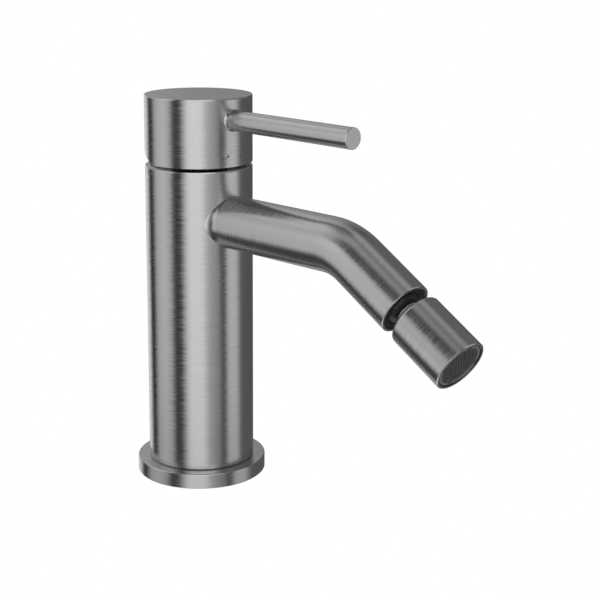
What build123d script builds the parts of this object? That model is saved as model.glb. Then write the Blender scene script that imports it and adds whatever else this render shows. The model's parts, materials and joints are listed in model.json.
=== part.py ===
from build123d import *

import math
import os

# Single-lever bidet mixer with a ball-joint outlet.
# Frame: +Z up, origin on the deck at the centre of the flange's underside.
# The spout and the lever point to -Y, and the hot side is -X. Sizes are in millimetres and degrees.

# Fits
FIT_GAP = 0.05  # radial play of threads, seats and running fits
BALL_GAP = 0.06  # play between the swivel ball and its seats
POCKET_PLAY = 0.12  # play of the stem's ball end in the disc carrier
RUN_GAP = 0.4  # play between parts that pass each other inside the cartridge
OVERRUN = 1.0  # how far a cutting body passes the face that it cuts
WELD_EDGE = 0.02  # depth by which a flared root is let into its host
TOUCH = 0.001  # tolerance when an edge is looked up by its place

# Deck flange and its gasket
FLANGE_RADIUS = 27.5
FLANGE_HEIGHT = 6.5
FLANGE_EDGE_ROUND = 0.4
FLANGE_SPIGOT_HEIGHT = 3.0
FLANGE_SPIGOT_WALL = 2.25
GASKET_WIDTH = 3.0
GASKET_HEIGHT = 2.0

# Column
COLUMN_HEIGHT = 127.5
COLUMN_UPPER_WALL = 2.5
COLUMN_LOWER_WALL = 3.7
COLUMN_FOOT_CHAMFER = 0.5
RIM_BEVEL_INSET = 0.15  # of the slim bevel on the column's and the head's top rims
RIM_BEVEL_DROP = 0.5
COLUMN_BORE_CHAMFER = 0.35

# Inlet block in the column's foot
BLOCK_RECESS = 12.0
BLOCK_HEIGHT = 18.0
HOSE_THREAD_RADIUS = 4.5
HOSE_THREAD_DEPTH = 9.0
STUD_THREAD_RADIUS = 3.4
STUD_THREAD_DEPTH = 13.0
STUD_OFFSET = 9.5

# Inlet tubes and their seals
TUBE_MARGIN = 2.47  # metal left between the seals' counterbores and the blocks' rims
TUBE_PLACE_ANGLE = 32.0  # how far each tube stands behind the column's middle
TUBE_RADIUS = 5.0
TUBE_WALL = 1.0
TUBE_SOCKET_DEPTH = 5.0
TUBE_SEAL_SECTION = 0.9

# Valve seat block
SEAT_BLOCK_HEIGHT = 14.0
SEAT_SEAL_SECTION = 1.0
SEAT_SEAL_DROP = 7.0

# Spout
SPOUT_DROP = 21.7  # from the column's rim down to the spout's axis
SPOUT_RADIUS = 11.0
SPOUT_BORE_RADIUS = 8.0
SPOUT_KNEE_REACH = 85.7  # from the column's axis to the corner of the bend
SPOUT_BEND_RADIUS = 29.0
SPOUT_FALL_ANGLE = 30.5
SPOUT_END_LENGTH = 35.8  # from the corner of the bend to the end
SPOUT_ROOT_FLARE = 2.6  # at the root's two sides; there's none at its top and bottom
SPOUT_RIM_CHAMFER = 0.25
WATERWAY_MARGIN = 0.3

# Cartridge
COVER_RING_DROP = 0.3
COVER_RING_HEIGHT = 1.4
COVER_RING_GAP = 1.05  # between the cover ring and the turret's neck
NUT_HEIGHT = 6.5
NUT_WIDTH = 5.0
NUT_SLOT_COUNT = 6
CARTRIDGE_RADIUS = 17.5
WATERWAY_WIDTH = 2.5  # ring-shaped space round the cartridge
CARTRIDGE_WALL = 2.0
CARTRIDGE_LIP_HEIGHT = 2.0
COLLAR_HEIGHT = 2.0
UPPER_SEAL_SECTION = 1.15
WINDOW_WIDTH = 14.0
WINDOW_HEIGHT = 8.0
BASE_HEIGHT = 4.5
CARTRIDGE_PORT_SPREAD = 6.5
CARTRIDGE_PORT_RADIUS = 3.0
PORT_SEAL_WIDTH = 1.5
PORT_SEAL_HEIGHT = 1.6
FIXED_DISC_MARGIN = 1.5
FIXED_DISC_HEIGHT = 3.5
MOVING_DISC_MARGIN = 1.0
MOVING_DISC_HEIGHT = 3.0
MIXING_RECESS_RADIUS = 7.0
MIXING_RECESS_DEPTH = 1.5
CARRIER_MARGIN = 1.4  # between the carrier at either end of its slide and the cartridge's wall
CARRIER_HEIGHT = 3.5
CARRIER_POST_WIDTH = 9.0

# Turret, stem and pivot pin
PIVOT_RISE = 7.0  # from the column's rim up to the handle's pivot
TURRET_NECK_WALL = 2.7
TURRET_TOP_RADIUS = 8.5
TURRET_TOP_RISE = 4.0  # how far the turret's top reaches above and below the pivot
TURRET_SEAL_SECTION = 0.85
PIN_RADIUS = 1.5
PIN_END_SETBACK = 0.2
STEM_WIDTH = 7.0
STEM_COVER = 4.9  # metal of the head left above the stem
STEM_SHOULDER = 3.5  # how far the square part reaches below the pivot
STEM_LOWER_ARM = 12.0  # from the pivot to the ball end
STEM_BALL_RADIUS = 3.0
STEM_SHANK_RADIUS = 2.2
STEM_SLOT_HALF = 4.8

# Handle
LIFT_ANGLE = 25.0
RELIEF_EXTRA_ANGLE = 0.7
RELIEF_START = 3.0  # where the rear relief leaves the underside, behind the axis
HEAD_GAP = 1.1
HEAD_HEIGHT = 28.4
HEAD_WALL = 3.0
HEAD_FOOT_CHAMFER = 0.45
HEAD_ROOF_GAP = 0.8  # play above the turret when the handle is lifted
LEVER_HEIGHT_SHARE = 0.38  # how far up the head's solid crown the lever's axis lies
LEVER_RADIUS = 4.25
LEVER_LENGTH = 66.5  # from the head's skin to the tip
LEVER_ROOT_FLARE = 1.3
LEVER_TIP_CHAMFER = 0.15
LEVER_SPIGOT_RADIUS = 3.0
LEVER_SPIGOT_LENGTH = 9.0
GRUB_RADIUS = 2.5
GRUB_LENGTH = 10.0
GRUB_TIP_RADIUS = 1.2
GRUB_TIP_LENGTH = 1.3
GRUB_KEY_RADIUS = 1.25
GRUB_KEY_DEPTH = 2.5
PLUG_RADIUS = 3.2
PLUG_LENGTH = 3.0
MARK_RADIUS = 0.55
MARK_DEPTH = 0.5
MARK_PROUD = 0.03
MARK_RISE = 5.0  # above the head's underside
MARK_ANGLE = 8.25  # each side of the lever

# Ball joint in the spout's end, measured along the spout's last run
SOCKET_RADIUS = 9.95
RETAINER_RECESS = 0.4
RETAINER_HEIGHT = 5.0
RETAINER_LEAD = 0.4  # countersink round the ball
BALL_RADIUS = 8.5
BALL_APERTURE_RADIUS = 7.0
BALL_BORE_RADIUS = 3.5
BALL_BACK_CUT = 6.0  # from the ball's centre back to its flat
NECK_RADIUS = 4.9
NECK_SEAT_RISE = 2.0  # from the ball's centre out to the seat of the neck
NECK_COLLAR_RADIUS = 6.5
NECK_COLLAR_LENGTH = 2.25
NECK_COLLAR_ROUND = 0.9
SLIP_RING_FRONT = 0.3  # from the ball's centre back to the slip ring's near face
SLIP_RING_BACK = 7.4
SLIP_RING_HOLE_RADIUS = 5.2
SPOUT_SEAL_SECTION = 1.1

# Outlet
NOZZLE_START = 5.0  # from the spout's end to the outlet's rear face
NOZZLE_LENGTH = 26.2
NOZZLE_RADIUS = 11.0
NOZZLE_BACK_WALL = 4.0
NOZZLE_BACK_ROUND = 1.4
NOZZLE_CHAMBER_WALL = 2.7
NOZZLE_THREAD_WALL = 1.0
NOZZLE_FRONT_CHAMFER = 0.3
AERATOR_DEPTH = 10.0  # from the outlet's end back to the seal's seat
AERATOR_RECESS = 0.4
AERATOR_WALL = 1.5
AERATOR_SEAL_HEIGHT = 2.0
AERATOR_SEAL_WIDTH = 2.7
AERATOR_LIP_GAP = 0.5  # groove between the outlet's mouth and the aerator's rim
AERATOR_LIP_DEPTH = 1.0
AERATOR_NOTCH_COUNT = 4
AERATOR_NOTCH_WIDTH = 2.2
AERATOR_NOTCH_DEPTH = 0.8
AERATOR_NOTCH_REACH = 0.9  # how far each notch cuts out from the bore
AERATOR_FACE_RECESS = 0.6  # from the aerator body's rim back to the honeycomb face
AERATOR_FACE_HEIGHT = 1.0
AERATOR_HOLE_RADIUS = 0.44
AERATOR_HOLE_PITCH = 1.48
AERATOR_HOLE_RINGS = 5
AERATOR_CORE_HEIGHT = 3.6
AERATOR_CORE_HOLE_RADIUS = 1.0
AERATOR_CORE_HOLE_CIRCLE = 4.6
AERATOR_CORE_HOLES = 8
SCREEN_HEIGHT = 4.0
SCREEN_WALL = 0.6
SCREEN_TIP_RADIUS = 2.0

# Heights worked out from the sizes above
UPPER_BORE_RADIUS = CARTRIDGE_RADIUS + WATERWAY_WIDTH
COLUMN_RADIUS = UPPER_BORE_RADIUS + COLUMN_UPPER_WALL
LOWER_BORE_RADIUS = COLUMN_RADIUS - COLUMN_LOWER_WALL
FLANGE_HOLE_RADIUS = LOWER_BORE_RADIUS - FIT_GAP - FLANGE_SPIGOT_WALL
TUBE_SEAL_RADIUS = TUBE_RADIUS + 2 * (TUBE_SEAL_SECTION + FIT_GAP)
TUBE_CIRCLE_RADIUS = LOWER_BORE_RADIUS - TUBE_SEAL_RADIUS - TUBE_MARGIN
TUBE_SPREAD = TUBE_CIRCLE_RADIUS * math.cos(math.radians(TUBE_PLACE_ANGLE))
TUBE_OFFSET = TUBE_CIRCLE_RADIUS * math.sin(math.radians(TUBE_PLACE_ANGLE))
COLUMN_TOP = FLANGE_HEIGHT + COLUMN_HEIGHT
BLOCK_TOP = BLOCK_RECESS + BLOCK_HEIGHT
SPOUT_AXIS_Z = COLUMN_TOP - SPOUT_DROP
SEAT_TOP = SPOUT_AXIS_Z - SPOUT_BORE_RADIUS - WATERWAY_MARGIN
SEAT_BOTTOM = SEAT_TOP - SEAT_BLOCK_HEIGHT
COVER_RING_TOP = COLUMN_TOP - COVER_RING_DROP
NUT_TOP = COVER_RING_TOP - COVER_RING_HEIGHT
CARTRIDGE_TOP = NUT_TOP - NUT_HEIGHT
COLLAR_TOP = CARTRIDGE_TOP - 2 * (UPPER_SEAL_SECTION + FIT_GAP)
LIP_BOTTOM = CARTRIDGE_TOP - CARTRIDGE_LIP_HEIGHT
CARTRIDGE_BORE_RADIUS = CARTRIDGE_RADIUS - CARTRIDGE_WALL
BASE_TOP = SEAT_TOP + BASE_HEIGHT
FIXED_DISC_TOP = BASE_TOP + FIXED_DISC_HEIGHT
MOVING_DISC_TOP = FIXED_DISC_TOP + MOVING_DISC_HEIGHT
CARRIER_TOP = MOVING_DISC_TOP + CARRIER_HEIGHT
TURRET_BOTTOM = CARRIER_TOP + RUN_GAP
TURRET_SHOULDER = LIP_BOTTOM - FIT_GAP
PIVOT_Z = COLUMN_TOP + PIVOT_RISE
POST_TOP = PIVOT_Z - STEM_LOWER_ARM + STEM_BALL_RADIUS
POCKET_BOTTOM = PIVOT_Z - STEM_LOWER_ARM - STEM_BALL_RADIUS - POCKET_PLAY
STEM_LEAN = LIFT_ANGLE / 2
DISC_OFFSET = STEM_LOWER_ARM * math.sin(math.radians(STEM_LEAN))
FIXED_DISC_RADIUS = CARTRIDGE_BORE_RADIUS - FIXED_DISC_MARGIN
CARRIER_RADIUS = CARTRIDGE_BORE_RADIUS - DISC_OFFSET - CARRIER_MARGIN
MOVING_DISC_RADIUS = CARRIER_RADIUS - MOVING_DISC_MARGIN
HOLLOW_WIDTH = CARRIER_POST_WIDTH + 2 * RUN_GAP
HOLLOW_DEPTH = HOLLOW_WIDTH + 2 * DISC_OFFSET
TURRET_NECK_RADIUS = math.hypot(HOLLOW_WIDTH, HOLLOW_DEPTH) / 2 + TURRET_NECK_WALL
HEAD_BOTTOM = COLUMN_TOP + HEAD_GAP
HEAD_TOP = HEAD_BOTTOM + HEAD_HEIGHT
HEAD_ROOF_Z = (
    PIVOT_Z
    + TURRET_TOP_RADIUS * math.sin(math.radians(LIFT_ANGLE))
    + TURRET_TOP_RISE * math.cos(math.radians(LIFT_ANGLE))
    + HEAD_ROOF_GAP
)
LEVER_AXIS_Z = HEAD_ROOF_Z + LEVER_HEIGHT_SHARE * (HEAD_TOP - HEAD_ROOF_Z)
LEVER_REACH = COLUMN_RADIUS + LEVER_LENGTH
STEM_LENGTH = (HEAD_TOP - STEM_COVER - PIVOT_Z) / math.cos(math.radians(STEM_LEAN))

# Places along the spout's last run, from its end and positive outwards
BALL_CENTRE_S = -RETAINER_RECESS - math.sqrt(BALL_RADIUS**2 - BALL_APERTURE_RADIUS**2)
SOCKET_DEPTH = SLIP_RING_BACK - BALL_CENTRE_S + 2 * (SPOUT_SEAL_SECTION + FIT_GAP)
NOZZLE_END = NOZZLE_START + NOZZLE_LENGTH
AERATOR_START = NOZZLE_END - AERATOR_DEPTH
AERATOR_END = NOZZLE_END - AERATOR_RECESS
AERATOR_BODY_START = AERATOR_START + AERATOR_SEAL_HEIGHT
NOZZLE_THREAD_RADIUS = NOZZLE_RADIUS - NOZZLE_THREAD_WALL
AERATOR_RADIUS = NOZZLE_THREAD_RADIUS - FIT_GAP
AERATOR_BORE_RADIUS = AERATOR_RADIUS - AERATOR_WALL


def rod(radius, low, high):
    """Solid round bar about Z between two heights."""
    bar = Cylinder(radius, high - low, align=(Align.CENTER, Align.CENTER, Align.MIN))
    return Pos(0, 0, low) * bar


def ring(outer, inner, low, high):
    """Plain ring about Z between two heights."""
    return rod(outer, low, high) - rod(inner, low, high)


def block(width, depth, low, high):
    """Rectangular bar about Z between two heights."""
    bar = Box(width, depth, high - low, align=(Align.CENTER, Align.CENTER, Align.MIN))
    return Pos(0, 0, low) * bar


def o_ring(mid_radius, section, height):
    """O-ring about Z with its mid-plane at a height."""
    return Pos(0, 0, height) * Torus(mid_radius, section)


def turned(points):
    """Solid of revolution about Z from (radius, height) points."""
    return revolve(Plane.XZ * make_face(Polyline(*points, close=True)), axis=Axis.Z)


def forwards(part, start, height):
    """Lays a part made along Z so that it points to -Y from a start and a height."""
    return Plane(origin=(0, -start, height), x_dir=(1, 0, 0), z_dir=(0, -1, 0)).location * part


def backwards(part, start, height):
    """Lays a part made along Z so that it points to +Y from a start and a height."""
    return Plane(origin=(0, start, height), x_dir=(1, 0, 0), z_dir=(0, 1, 0)).location * part


def leaning(part):
    """Tips a part made along Z at the pivot, its top forwards, as the stem lies at rest."""
    return Pos(0, 0, PIVOT_Z) * Rot(STEM_LEAN, 0, 0) * part


def at_outlet(part):
    """Moves a part made about Z from the spout's end to its place on the spout."""
    fall = math.radians(SPOUT_FALL_ANGLE)
    outwards = Vector(0, -math.cos(fall), -math.sin(fall))
    knee = Vector(0, -SPOUT_KNEE_REACH, SPOUT_AXIS_Z)
    end = knee + outwards * SPOUT_END_LENGTH
    return Plane(origin=end, x_dir=(1, 0, 0), z_dir=outwards).location * part


def both_sides(part, spread, offset=0):
    """Copies of a part at both sides of the mirror plane, hot side first."""
    return [Pos(side * spread, offset, 0) * part for side in (-1, 1)]


def around(part, count):
    """Copies of a part evenly spaced about Z."""
    return [Rot(0, 0, 360 * index / count) * part for index in range(count)]


def rims(part, radius, height):
    """Round edges of a turned part with a radius at a height."""
    return [
        edge
        for edge in part.edges().filter_by(GeomType.CIRCLE)
        if abs(edge.radius - radius) < TOUCH and abs(edge.center().Z - height) < TOUCH
    ]


def slim_bevel(radius, top):
    """Cutter for a steep narrow bevel round a top rim."""
    outer = radius + OVERRUN
    foot = top - RIM_BEVEL_DROP
    inner = radius - RIM_BEVEL_INSET
    return turned([(radius, foot), (outer, foot), (outer, top + OVERRUN), (inner, top + OVERRUN), (inner, top)])


def flared_stub(host_radius, stub_radius, flare, length, height):
    """Round stub that points to -Y from an upright host, its foot flared onto the host's sides."""
    seat_radius = host_radius - WELD_EDGE
    foot = stub_radius + flare
    foot_reach = math.sqrt(seat_radius**2 - foot**2)
    bend = flare / (1 - foot / seat_radius)
    turn = math.acos(foot / seat_radius)
    middle = (stub_radius + bend * (1 - math.cos(turn / 2)), foot_reach + bend * (math.sin(turn) - math.sin(turn / 2)))
    flank_start = (stub_radius, foot_reach + bend * math.sin(turn))
    outline = Polyline((0, length), (0, foot_reach - OVERRUN), (foot, foot_reach - OVERRUN), (foot, foot_reach))
    outline += ThreePointArc((foot, foot_reach), middle, flank_start)
    outline += Polyline(flank_start, (stub_radius, length), (0, length))
    body = forwards(revolve(Plane.XZ * make_face(outline), axis=Axis.Z), 0, height)
    return body - rod(host_radius, height - foot - OVERRUN, height + foot + OVERRUN)


def base_flange():
    """Round deck flange, its locating spigot and the groove for the gasket."""
    spigot_top = FLANGE_HEIGHT + FLANGE_SPIGOT_HEIGHT
    body = rod(FLANGE_RADIUS, 0, FLANGE_HEIGHT)
    body = fillet(rims(body, FLANGE_RADIUS, FLANGE_HEIGHT), FLANGE_EDGE_ROUND)
    body = chamfer(rims(body, FLANGE_RADIUS, 0), FLANGE_EDGE_ROUND)
    body += rod(LOWER_BORE_RADIUS - FIT_GAP, FLANGE_HEIGHT, spigot_top)
    body -= rod(FLANGE_HOLE_RADIUS, -OVERRUN, spigot_top + OVERRUN)
    return body - base_gasket()


def base_gasket():
    """Flat rubber ring in the flange's underside."""
    middle = (FLANGE_HOLE_RADIUS + FLANGE_RADIUS) / 2
    return ring(middle + GASKET_WIDTH / 2, middle - GASKET_WIDTH / 2, 0, GASKET_HEIGHT)


def mixer_body():
    """Column with its stepped bore and the hole that takes the spout."""
    body = rod(COLUMN_RADIUS, FLANGE_HEIGHT, COLUMN_TOP)
    body = chamfer(rims(body, COLUMN_RADIUS, FLANGE_HEIGHT), COLUMN_FOOT_CHAMFER)
    body -= rod(LOWER_BORE_RADIUS, FLANGE_HEIGHT - OVERRUN, SEAT_BOTTOM + OVERRUN)
    body -= rod(UPPER_BORE_RADIUS, SEAT_BOTTOM, COLUMN_TOP + OVERRUN)
    body -= slim_bevel(COLUMN_RADIUS, COLUMN_TOP)
    body = chamfer(rims(body, UPPER_BORE_RADIUS, COLUMN_TOP), COLUMN_BORE_CHAMFER)
    return body - forwards(rod(SPOUT_RADIUS, 0, COLUMN_RADIUS + OVERRUN), 0, SPOUT_AXIS_Z)


def tube_sockets(mouth, bottom):
    """Cutting bodies for the two tube sockets of a block, from its mouth to the sockets' bottom."""
    inwards = 1 if bottom > mouth else -1
    seal_end = mouth + inwards * 2 * (TUBE_SEAL_SECTION + FIT_GAP)
    outside = mouth - inwards * OVERRUN
    socket = rod(TUBE_RADIUS + FIT_GAP, min(outside, bottom), max(outside, bottom))
    socket += rod(TUBE_SEAL_RADIUS, min(outside, seal_end), max(outside, seal_end))
    return both_sides(socket, TUBE_SPREAD, TUBE_OFFSET)


def inlet_block():
    """Block in the column's foot: hose threads, stud thread and tube sockets."""
    body = rod(LOWER_BORE_RADIUS - FIT_GAP, BLOCK_RECESS, BLOCK_TOP)
    below = BLOCK_RECESS - OVERRUN
    thread = rod(HOSE_THREAD_RADIUS, below, BLOCK_RECESS + HOSE_THREAD_DEPTH)
    thread += rod(TUBE_RADIUS - TUBE_WALL, below, BLOCK_TOP)
    body -= both_sides(thread, TUBE_SPREAD, TUBE_OFFSET)
    body -= Pos(0, -STUD_OFFSET, 0) * rod(STUD_THREAD_RADIUS, below, BLOCK_RECESS + STUD_THREAD_DEPTH)
    return body - tube_sockets(BLOCK_TOP, BLOCK_TOP - TUBE_SOCKET_DEPTH)


def inlet_tube(side):
    """Straight tube between the two blocks on one side."""
    low = BLOCK_TOP - TUBE_SOCKET_DEPTH
    high = SEAT_BOTTOM + TUBE_SOCKET_DEPTH
    return Pos(side * TUBE_SPREAD, TUBE_OFFSET, 0) * ring(TUBE_RADIUS, TUBE_RADIUS - TUBE_WALL, low, high)


def tube_o_rings():
    """Four seals round the tubes' ends, in the blocks' counterbores."""
    step = TUBE_SEAL_SECTION + FIT_GAP
    heights = (BLOCK_TOP - step, SEAT_BOTTOM + step)
    seals = [o_ring(TUBE_RADIUS + step, TUBE_SEAL_SECTION, height) for height in heights]
    return Compound(children=[copy for seal in seals for copy in both_sides(seal, TUBE_SPREAD, TUBE_OFFSET)])


def seat_block():
    """Block that carries the cartridge and leads each inlet to its port."""
    body = rod(UPPER_BORE_RADIUS - FIT_GAP, SEAT_BOTTOM, SEAT_TOP)
    seal_z = SEAT_TOP - SEAT_SEAL_DROP
    groove = SEAT_SEAL_SECTION + FIT_GAP
    body -= ring(UPPER_BORE_RADIUS, UPPER_BORE_RADIUS - 2 * groove, seal_z - groove, seal_z + groove)
    body -= tube_sockets(SEAT_BOTTOM, SEAT_BOTTOM + TUBE_SOCKET_DEPTH)
    meeting = (SEAT_BOTTOM + TUBE_SOCKET_DEPTH + SEAT_TOP) / 2
    rise = rod(TUBE_RADIUS - TUBE_WALL, SEAT_BOTTOM + OVERRUN, meeting + OVERRUN)
    body -= both_sides(rise, TUBE_SPREAD, TUBE_OFFSET)
    port = rod(CARTRIDGE_PORT_RADIUS, meeting - OVERRUN, SEAT_TOP + OVERRUN)
    return body - both_sides(port, CARTRIDGE_PORT_SPREAD)


def seat_block_o_ring():
    """Seal between the seat block and the column."""
    return o_ring(UPPER_BORE_RADIUS - FIT_GAP - SEAT_SEAL_SECTION, SEAT_SEAL_SECTION, SEAT_TOP - SEAT_SEAL_DROP)


def spout_line(start):
    """Centre line of the spout from a distance in front of the column's axis to its end."""
    fall = math.radians(SPOUT_FALL_ANGLE)
    knee = (0, -SPOUT_KNEE_REACH, SPOUT_AXIS_Z)
    end_y = -SPOUT_KNEE_REACH - SPOUT_END_LENGTH * math.cos(fall)
    end_z = SPOUT_AXIS_Z - SPOUT_END_LENGTH * math.sin(fall)
    return FilletPolyline((0, -start, SPOUT_AXIS_Z), knee, (0, end_y, end_z), radius=SPOUT_BEND_RADIUS)


def spout_sweep(radius):
    """Round bar that follows the spout from inside the column to the spout's end."""
    start = UPPER_BORE_RADIUS / 2
    section = Plane(origin=(0, -start, SPOUT_AXIS_Z), z_dir=(0, -1, 0)) * Circle(radius)
    return sweep(section, path=spout_line(start))


def spout_tube():
    """Bent spout, flared onto the column, with the ball socket in its end."""
    half = SPOUT_RADIUS + OVERRUN
    inside = rod(UPPER_BORE_RADIUS, SPOUT_AXIS_Z - half, SPOUT_AXIS_Z + half)
    stub_end = COLUMN_RADIUS + 2 * SPOUT_ROOT_FLARE
    body = spout_sweep(SPOUT_RADIUS) - inside
    body += flared_stub(COLUMN_RADIUS, SPOUT_RADIUS, SPOUT_ROOT_FLARE, stub_end, SPOUT_AXIS_Z)
    body -= spout_sweep(SPOUT_BORE_RADIUS)
    socket = rod(SOCKET_RADIUS, -SOCKET_DEPTH, OVERRUN)
    bevel = turned(
        [
            (SPOUT_RADIUS, -SPOUT_RIM_CHAMFER),
            (SPOUT_RADIUS + OVERRUN, -SPOUT_RIM_CHAMFER),
            (SPOUT_RADIUS + OVERRUN, 0),
            (SPOUT_RADIUS - SPOUT_RIM_CHAMFER, 0),
        ]
    )
    return body - at_outlet(socket) - at_outlet(bevel)


def cartridge_housing():
    """Cartridge shell with its sealing collar, top lip and the window to the spout."""
    body = rod(CARTRIDGE_RADIUS, SEAT_TOP, CARTRIDGE_TOP)
    body += rod(UPPER_BORE_RADIUS - FIT_GAP, COLLAR_TOP - COLLAR_HEIGHT, COLLAR_TOP)
    body -= rod(CARTRIDGE_BORE_RADIUS, SEAT_TOP - OVERRUN, LIP_BOTTOM)
    body -= rod(TURRET_NECK_RADIUS + FIT_GAP, LIP_BOTTOM - OVERRUN, CARTRIDGE_TOP + OVERRUN)
    low = SPOUT_AXIS_Z - WINDOW_HEIGHT / 2
    window = block(WINDOW_WIDTH, CARTRIDGE_RADIUS, low, low + WINDOW_HEIGHT)
    return body - Pos(0, -CARTRIDGE_RADIUS, 0) * window


def cartridge_o_ring():
    """Seal above the cartridge's collar."""
    middle = (UPPER_BORE_RADIUS + CARTRIDGE_RADIUS) / 2
    return o_ring(middle, UPPER_SEAL_SECTION, COLLAR_TOP + UPPER_SEAL_SECTION + FIT_GAP)


def cartridge_base():
    """Plate that closes the cartridge, with two ports and their seals' counterbores."""
    body = rod(CARTRIDGE_BORE_RADIUS - FIT_GAP, SEAT_TOP, BASE_TOP)
    port = rod(CARTRIDGE_PORT_RADIUS, SEAT_TOP - OVERRUN, BASE_TOP + OVERRUN)
    port += rod(CARTRIDGE_PORT_RADIUS + PORT_SEAL_WIDTH, SEAT_TOP - OVERRUN, SEAT_TOP + PORT_SEAL_HEIGHT)
    return body - both_sides(port, CARTRIDGE_PORT_SPREAD)


def inlet_port_seals():
    """Two flat seals between the seat block and the cartridge's ports."""
    outer = CARTRIDGE_PORT_RADIUS + PORT_SEAL_WIDTH
    seal = ring(outer, CARTRIDGE_PORT_RADIUS, SEAT_TOP, SEAT_TOP + PORT_SEAL_HEIGHT)
    return Compound(children=both_sides(seal, CARTRIDGE_PORT_SPREAD))


def fixed_disc():
    """Fixed ceramic disc with its two ports."""
    port = rod(CARTRIDGE_PORT_RADIUS, BASE_TOP - OVERRUN, FIXED_DISC_TOP + OVERRUN)
    return rod(FIXED_DISC_RADIUS, BASE_TOP, FIXED_DISC_TOP) - both_sides(port, CARTRIDGE_PORT_SPREAD)


def moving_disc():
    """Moving ceramic disc with the mixing recess in its underside, at the closed place."""
    body = rod(MOVING_DISC_RADIUS, FIXED_DISC_TOP, MOVING_DISC_TOP)
    body -= rod(MIXING_RECESS_RADIUS, FIXED_DISC_TOP - OVERRUN, FIXED_DISC_TOP + MIXING_RECESS_DEPTH)
    return Pos(0, DISC_OFFSET, 0) * body


def disc_carrier():
    """Plate on the moving disc, with the post and pocket that the stem's ball end moves."""
    width = 2 * (STEM_BALL_RADIUS + POCKET_PLAY)
    body = rod(CARRIER_RADIUS, MOVING_DISC_TOP, CARRIER_TOP)
    body += block(CARRIER_POST_WIDTH, CARRIER_POST_WIDTH, CARRIER_TOP, POST_TOP)
    body -= block(width, width, POCKET_BOTTOM, POST_TOP + OVERRUN)
    return Pos(0, DISC_OFFSET, 0) * body


def turret():
    """Turning guide: flange with a seal groove, neck, slotted top and the pin's hole."""
    flange_radius = CARTRIDGE_BORE_RADIUS - FIT_GAP
    seal_z = (TURRET_BOTTOM + TURRET_SHOULDER) / 2
    groove = TURRET_SEAL_SECTION + FIT_GAP
    body = rod(flange_radius, TURRET_BOTTOM, TURRET_SHOULDER)
    body -= ring(flange_radius + OVERRUN, flange_radius - 2 * groove, seal_z - groove, seal_z + groove)
    body += rod(TURRET_NECK_RADIUS, TURRET_SHOULDER, PIVOT_Z - TURRET_TOP_RISE)
    body += rod(TURRET_TOP_RADIUS, PIVOT_Z - TURRET_TOP_RISE, PIVOT_Z + TURRET_TOP_RISE)
    body -= block(HOLLOW_WIDTH, HOLLOW_DEPTH, TURRET_BOTTOM - OVERRUN, POST_TOP + RUN_GAP)
    slot_width = STEM_WIDTH + 2 * FIT_GAP
    body -= block(slot_width, 2 * STEM_SLOT_HALF, POST_TOP, PIVOT_Z + TURRET_TOP_RISE + OVERRUN)
    return body - stem_pin()


def turret_o_ring():
    """Seal in the turret's flange."""
    middle = CARTRIDGE_BORE_RADIUS - FIT_GAP - TURRET_SEAL_SECTION
    return o_ring(middle, TURRET_SEAL_SECTION, (TURRET_BOTTOM + TURRET_SHOULDER) / 2)


def stem_pin():
    """Pin that the stem tips on, across the turret's top."""
    half = TURRET_TOP_RADIUS - PIN_END_SETBACK
    return Pos(0, 0, PIVOT_Z) * Rot(0, 90, 0) * rod(PIN_RADIUS, -half, half)


def stem():
    """Square stem that leans forwards at rest, with a ball end below the pivot."""
    body = block(STEM_WIDTH, STEM_WIDTH, -STEM_SHOULDER, STEM_LENGTH)
    body += rod(STEM_SHANK_RADIUS, -STEM_LOWER_ARM, 0)
    body += Pos(0, 0, -STEM_LOWER_ARM) * Sphere(STEM_BALL_RADIUS)
    half = STEM_WIDTH / 2 + OVERRUN
    body -= Rot(0, 90, 0) * rod(PIN_RADIUS + FIT_GAP, -half, half)
    return leaning(body)


def cartridge_nut():
    """Ring nut that holds the cartridge down, with slots for a key."""
    outer = UPPER_BORE_RADIUS - FIT_GAP
    body = ring(outer, outer - NUT_WIDTH, CARTRIDGE_TOP, NUT_TOP)
    slot = Pos(outer - NUT_WIDTH, 0, 0) * block(NUT_WIDTH, NUT_WIDTH / 2, NUT_TOP - NUT_WIDTH / 2, NUT_TOP + OVERRUN)
    return body - around(slot, NUT_SLOT_COUNT)


def cover_ring():
    """Thin dress ring on the nut, just below the column's rim."""
    return ring(UPPER_BORE_RADIUS - FIT_GAP, TURRET_NECK_RADIUS + COVER_RING_GAP, NUT_TOP, COVER_RING_TOP)


def grub_tip_y():
    """How far behind the axis the grub screw's tip stops on the leaning stem."""
    lean = math.radians(STEM_LEAN)
    height = LEVER_AXIS_Z - GRUB_TIP_RADIUS - PIVOT_Z
    return STEM_WIDTH / 2 / math.cos(lean) - height * math.tan(lean) + FIT_GAP


def rear_relief():
    """Cutting body for the slanted underside at the back of the head."""
    reach = COLUMN_RADIUS + OVERRUN
    rise = (reach - RELIEF_START) * math.tan(math.radians(LIFT_ANGLE + RELIEF_EXTRA_ANGLE))
    outline = Polyline((RELIEF_START, 0), (reach, 0), (reach, rise), close=True)
    below = Polyline((RELIEF_START, 0), (RELIEF_START, -OVERRUN), (reach, -OVERRUN), (reach, 0), close=True)
    section = make_face(outline) + make_face(below)
    wedge = extrude(Plane.YZ.offset(-reach) * section, amount=2 * reach)
    return Pos(0, 0, HEAD_BOTTOM) * wedge


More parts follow.
